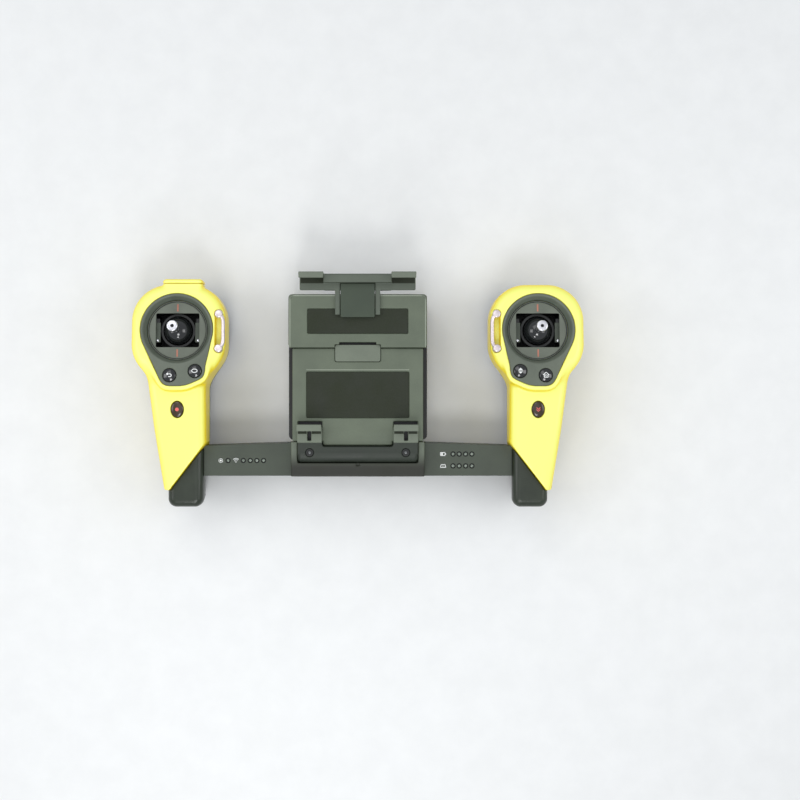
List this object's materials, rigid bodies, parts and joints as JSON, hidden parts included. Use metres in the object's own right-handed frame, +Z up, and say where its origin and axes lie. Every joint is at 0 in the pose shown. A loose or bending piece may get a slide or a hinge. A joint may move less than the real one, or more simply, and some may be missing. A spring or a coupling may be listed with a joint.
{
  "type": "handheld ground control station",
  "caption": "Handheld remote controller for a model aircraft: twin grips with gimbal sticks on a bridge, radio housing and a folding, extending tablet holder.",
  "frame": {"origin": "on the surface that the part lies on, under the middle of its width and length", "axes": "+X to the user's right, +Y away from the user, +Z up out of the stick faces with the part lying on its back"},
  "size_m": [0.3724, 0.1922, 0.0837],
  "materials": {
    "shell_yellow": "satin moulded plastic, lemon yellow",
    "dark_casing": "fine-grained black moulded plastic",
    "bridge_plastic": "matt dark grey moulded plastic",
    "holder_plastic": "matt mid grey moulded plastic with a fine grain",
    "face_plastic": "satin dark grey moulded plastic",
    "rubber_pad": "ribbed dark rubber",
    "button_gloss": "glossy black plastic with white line symbols",
    "polished_metal": "polished bright metal",
    "heat_sink_aluminium": "plain aluminium",
    "screw_steel": "blackened steel",
    "circuit_board": "green circuit board",
    "light_pipe": "smoked clear plastic"
  },
  "bodies": {
    "base": {"left_grip_shell": "shell_yellow", "right_grip_shell": "shell_yellow", "left_grip_base": "dark_casing", "right_grip_base": "dark_casing", "left_gimbal_frame": "dark_casing", "right_gimbal_frame": "dark_casing", "bridge_lower_cover": "dark_casing", "radio_housing_bottom": "dark_casing", "radio_housing_top": "dark_casing", "left_arm_cover": "bridge_plastic", "right_arm_cover": "bridge_plastic", "centre_block": "bridge_plastic", "left_face_plate": "face_plastic", "right_face_plate": "face_plastic", "left_gimbal_disc": "face_plastic", "right_gimbal_disc": "face_plastic", "battery_contact_block": "button_gloss", "left_strap_loop": "polished_metal", "right_strap_loop": "polished_metal", "usb_socket": "polished_metal", "hinge_pin": "polished_metal", "heat_sink": "heat_sink_aluminium", "left_button_board": "circuit_board", "right_button_board": "circuit_board", "left_handle_board": "circuit_board", "right_handle_board": "circuit_board", "status_board": "circuit_board", "main_board": "circuit_board", "antenna_board": "circuit_board", "left_led_pipes": "light_pipe", "right_led_pipes": "light_pipe"},
    "holder": {"holder_lower_plate": "holder_plastic", "lower_pad": "rubber_pad", "holder_bracket": "bridge_plastic", "left_bracket_screw": "screw_steel", "right_bracket_screw": "screw_steel", "left_bottom_jaw_pad": "rubber_pad", "right_bottom_jaw_pad": "rubber_pad"},
    "holder_extension": {"holder_upper_plate": "holder_plastic", "upper_pad": "rubber_pad"},
    "holder_latch": {"extension_latch": "holder_plastic"},
    "clamp": {"top_clamp": "holder_plastic", "clamp_cover": "holder_plastic", "left_top_jaw_pad": "rubber_pad", "right_top_jaw_pad": "rubber_pad"},
    "left_gimbal": {"left_gimbal_yoke": "dark_casing"},
    "right_gimbal": {"right_gimbal_yoke": "dark_casing"},
    "left_stick": {"left_stick": "button_gloss", "left_stick_tip": "polished_metal"},
    "right_stick": {"right_stick": "button_gloss", "right_stick_tip": "polished_metal"},
    "flap": {"port_flap": "shell_yellow"},
    "battery": {"battery_pack": "dark_casing"},
    "power_button": {"power_button": "button_gloss"},
    "left_button_outer": {"left_button_outer": "button_gloss"},
    "left_button_inner": {"left_button_inner": "button_gloss"},
    "left_oval_button": {"left_oval_button": "button_gloss"},
    "right_button_outer": {"right_button_outer": "button_gloss"},
    "right_button_inner": {"right_button_inner": "button_gloss"},
    "right_oval_button": {"right_oval_button": "button_gloss"}
  },
  "joints": [
    {"name": "holder_tilt", "type": "hinge", "parent": "base", "child": "holder", "pos_m": [0, -0.0521, 0.053], "axis": [1, 0, 0], "range_deg": [0, 90]},
    {"name": "holder_extend", "type": "slide", "parent": "holder", "child": "holder_extension", "axis": [0, 1, 0], "range_m": [0, 0.032]},
    {"name": "latch_press", "type": "slide", "parent": "holder", "child": "holder_latch", "axis": [0, 0, -1], "range_m": [0, 0.001], "stiffness_N_per_m": 400},
    {"name": "clamp_pull", "type": "slide", "parent": "holder_extension", "child": "clamp", "axis": [0, 1, 0], "range_m": [0, 0.02], "stiffness_N_per_m": 120},
    {"name": "flap_open", "type": "hinge", "parent": "base", "child": "flap", "pos_m": [-0.14385, 0.0903, 0.043], "axis": [-1, 0, 0], "range_deg": [0, 100]},
    {"name": "battery_slide", "type": "slide", "parent": "base", "child": "battery", "axis": [0, 1, 0], "range_m": [0, 0.095]},
    {"name": "power_press", "type": "slide", "parent": "base", "child": "power_button", "axis": [0, 1, 0], "range_m": [0, 0.0008], "stiffness_N_per_m": 400},
    {"name": "left_stick_pitch", "type": "hinge", "parent": "base", "child": "left_gimbal", "pos_m": [-0.148, 0.04944, 0.05304], "axis": [1, 0, 0], "range_deg": [-25, 25], "stiffness_Nm_per_rad": 0.05},
    {"name": "left_stick_roll", "type": "hinge", "parent": "left_gimbal", "child": "left_stick", "pos_m": [-0.148, 0.04944, 0.05304], "axis": [0, 0.9962, -0.0872], "range_deg": [-25, 25], "stiffness_Nm_per_rad": 0.05},
    {"name": "left_outer_press", "type": "slide", "parent": "base", "child": "left_button_outer", "axis": [0, -0.0872, -0.9962], "range_m": [0, 0.001], "stiffness_N_per_m": 300},
    {"name": "left_inner_press", "type": "slide", "parent": "base", "child": "left_button_inner", "axis": [0, -0.0872, -0.9962], "range_m": [0, 0.001], "stiffness_N_per_m": 300},
    {"name": "left_oval_press", "type": "slide", "parent": "base", "child": "left_oval_button", "axis": [0, 0.0523, -0.9986], "range_m": [0, 0.001], "stiffness_N_per_m": 300},
    {"name": "right_stick_pitch", "type": "hinge", "parent": "base", "child": "right_gimbal", "pos_m": [0.148, 0.04944, 0.05304], "axis": [1, 0, 0], "range_deg": [-25, 25], "stiffness_Nm_per_rad": 0.05},
    {"name": "right_stick_roll", "type": "hinge", "parent": "right_gimbal", "child": "right_stick", "pos_m": [0.148, 0.04944, 0.05304], "axis": [0, 0.9962, -0.0872], "range_deg": [-25, 25], "stiffness_Nm_per_rad": 0.05},
    {"name": "right_outer_press", "type": "slide", "parent": "base", "child": "right_button_outer", "axis": [0, -0.0872, -0.9962], "range_m": [0, 0.001], "stiffness_N_per_m": 300},
    {"name": "right_inner_press", "type": "slide", "parent": "base", "child": "right_button_inner", "axis": [0, -0.0872, -0.9962], "range_m": [0, 0.001], "stiffness_N_per_m": 300},
    {"name": "right_oval_press", "type": "slide", "parent": "base", "child": "right_oval_button", "axis": [0, 0.0523, -0.9986], "range_m": [0, 0.001], "stiffness_N_per_m": 300}
  ]
}
